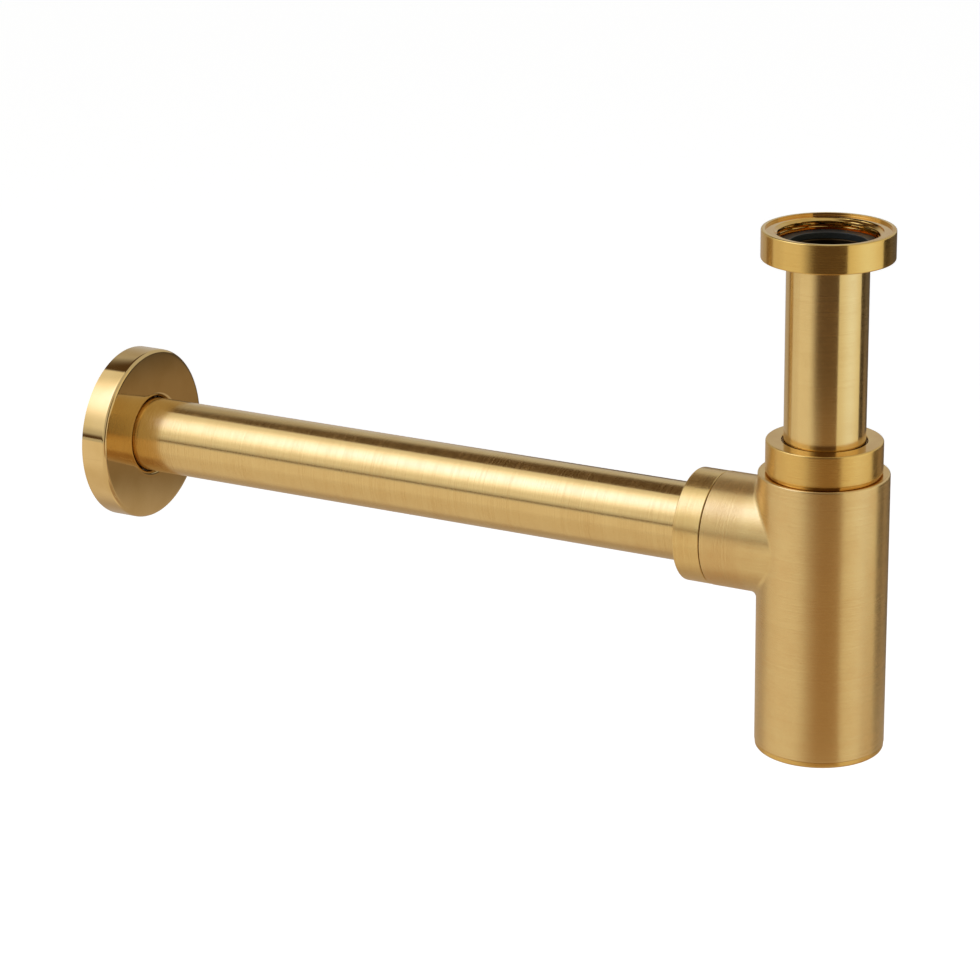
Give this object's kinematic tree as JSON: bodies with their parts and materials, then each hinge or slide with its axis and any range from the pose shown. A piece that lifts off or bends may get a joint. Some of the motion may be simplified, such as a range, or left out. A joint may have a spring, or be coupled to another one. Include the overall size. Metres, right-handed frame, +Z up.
{
  "type": "basin trap",
  "caption": "Round bottle trap for a wash basin: union nut, dipped inlet tube, bottle with side branch, outlet pipe and wall flange in brushed brass.",
  "frame": {"origin": "centre of the union nut's top face, on the inlet axis", "axes": "+Z up along the inlet tube, +Y along the outlet pipe towards the wall, +X completes a right-handed frame"},
  "size_m": [0.074, 0.3542, 0.212],
  "materials": {
    "brushed_brass": "brushed, gold tone",
    "polished_brass": "polished, gold tone",
    "rubber": "moulded, matt",
    "nylon": "moulded, natural"
  },
  "bodies": {
    "union_nut": {"inlet_union_nut": "brushed_brass"},
    "inlet": {"inlet_tube": "brushed_brass", "inlet_washer": "rubber"},
    "bottle": {"trap_body": "brushed_brass", "inlet_seal": "rubber", "outlet_seal": "rubber"},
    "inlet_ring": {"inlet_slip_ring": "nylon"},
    "inlet_nut": {"inlet_compression_nut": "brushed_brass"},
    "outlet_ring": {"outlet_slip_ring": "nylon"},
    "outlet_clamp": {"outlet_nut": "brushed_brass"},
    "pipe": {"outlet_pipe": "brushed_brass"},
    "flange_ring": {"flange_grip_ring": "rubber"},
    "flange": {"wall_flange": "polished_brass"},
    "plug_seal": {"plug_o_ring": "rubber"},
    "plug": {"cleaning_plug": "brushed_brass"}
  },
  "joints": [
    {"name": "inlet_swivel", "type": "hinge", "parent": "union_nut", "child": "inlet", "pos_m": [0, 0, 0], "axis": [0, 0, 1], "continuous": true},
    {"name": "bottle_height", "type": "slide", "parent": "inlet", "child": "bottle", "axis": [0, 0, 1], "range_m": [-0.03, 0.012]},
    {"name": "inlet_nut_travel", "type": "slide", "parent": "bottle", "child": "inlet_ring", "axis": [0, 0, 1], "range_m": [0, 0.00923]},
    {"name": "inlet_nut_turn", "type": "hinge", "parent": "inlet_ring", "child": "inlet_nut", "pos_m": [0, 0, -0.09], "axis": [0, 0, 1], "range_deg": [0, 1440]},
    {"name": "outlet_nut_travel", "type": "slide", "parent": "bottle", "child": "outlet_ring", "axis": [0, 1, 0], "range_m": [0, 0.00808]},
    {"name": "outlet_nut_turn", "type": "hinge", "parent": "outlet_ring", "child": "outlet_clamp", "pos_m": [0, 0.05, -0.1273], "axis": [0, 1, 0], "range_deg": [0, 1260]},
    {"name": "pipe_reach", "type": "slide", "parent": "bottle", "child": "pipe", "axis": [0, 1, 0], "range_m": [-0.003, 0.012]},
    {"name": "flange_slide", "type": "slide", "parent": "pipe", "child": "flange_ring", "axis": [0, 1, 0], "range_m": [-0.245, 0.004]},
    {"name": "flange_turn", "type": "hinge", "parent": "flange_ring", "child": "flange", "pos_m": [0, 0.32, -0.1273], "axis": [0, 1, 0], "continuous": true},
    {"name": "plug_travel", "type": "slide", "parent": "bottle", "child": "plug_seal", "axis": [0, 0, -1], "range_m": [0, 0.00799]},
    {"name": "plug_turn", "type": "hinge", "parent": "plug_seal", "child": "plug", "pos_m": [0, 0, -0.21], "axis": [0, 0, -1], "range_deg": [0, 1440]}
  ],
  "couplings": [
    {"joint": "inlet_nut_turn", "follows": "inlet_nut_travel", "rad_per_m": 2721.2},
    {"joint": "outlet_nut_turn", "follows": "outlet_nut_travel", "rad_per_m": 2721.2},
    {"joint": "plug_turn", "follows": "plug_travel", "rad_per_m": 3141.6}
  ]
}
